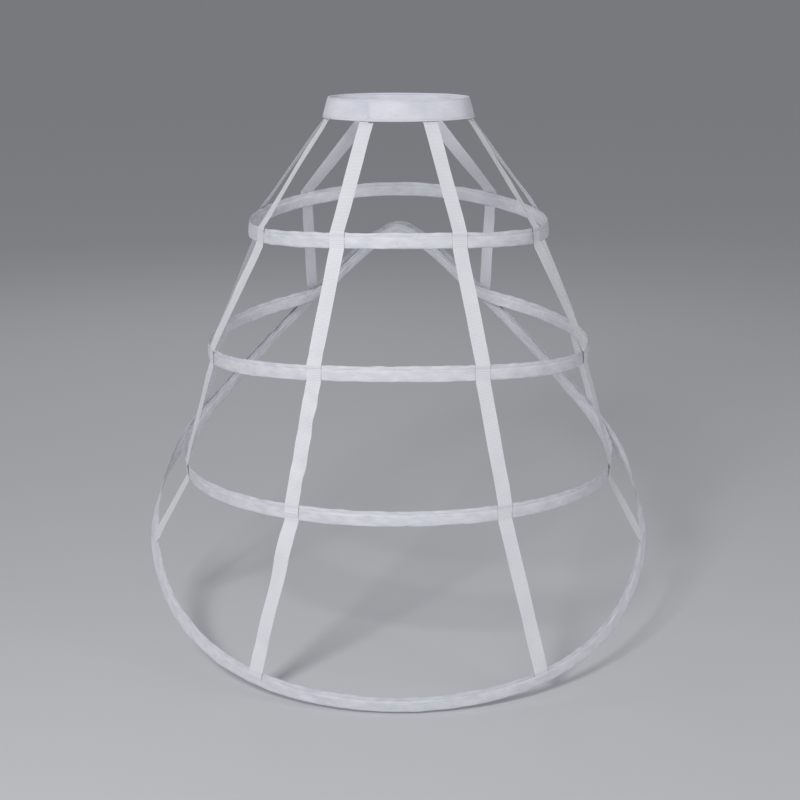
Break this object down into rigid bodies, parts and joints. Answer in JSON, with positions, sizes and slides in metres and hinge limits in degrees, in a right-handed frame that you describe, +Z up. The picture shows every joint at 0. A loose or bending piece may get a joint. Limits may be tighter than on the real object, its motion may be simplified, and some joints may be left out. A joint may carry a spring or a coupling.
{
  "type": "crinoline cage",
  "caption": "Crinoline cage: a waistband carries vertical tapes that hold cased hoops, whose lower hoops are gathered into a raised arch at the wearer's front.",
  "frame": {"origin": "centre of the waistband's opening, at its top edge", "axes": "+Z up as worn; +Y towards the wearer's front, where the hem is raised; +X towards the wearer's right"},
  "size_m": [0.8846, 0.7856, 0.9216],
  "materials": {
    "casing_fabric": "white woven taffeta casing, slightly puckered",
    "tape_fabric": "white ribbed tape with firm selvedges",
    "band_fabric": "white woven cotton waistband, interfaced and stitched",
    "bone_coating": "white coating on flat spring steel",
    "ferrule_metal": "crimped zinc-plated steel sleeve",
    "closure_metal": "nickel-plated pressed steel"
  },
  "bodies": {
    "root": {"waistband": "band_fabric", "waist_hook_upper": "closure_metal", "waist_bar_upper": "closure_metal", "waist_hook_lower": "closure_metal", "waist_bar_lower": "closure_metal", "hoop_1_casing": "casing_fabric", "hoop_1_bone": "bone_coating", "hoop_1_ferrule": "ferrule_metal", "hoop_2_casing": "casing_fabric", "hoop_2_bone": "bone_coating", "hoop_2_ferrule": "ferrule_metal", "hoop_3_casing": "casing_fabric", "hoop_3_bone": "bone_coating", "hoop_3_ferrule": "ferrule_metal", "hoop_4_casing": "casing_fabric", "hoop_4_bone": "bone_coating", "hoop_4_ferrule": "ferrule_metal", "back_tape_right": "tape_fabric", "back_tape_left": "tape_fabric", "side_back_tape_right": "tape_fabric", "side_back_tape_left": "tape_fabric", "side_front_tape_right": "tape_fabric", "side_front_tape_left": "tape_fabric", "front_tape_right": "tape_fabric", "front_tape_left": "tape_fabric"}
  },
  "joints": []
}
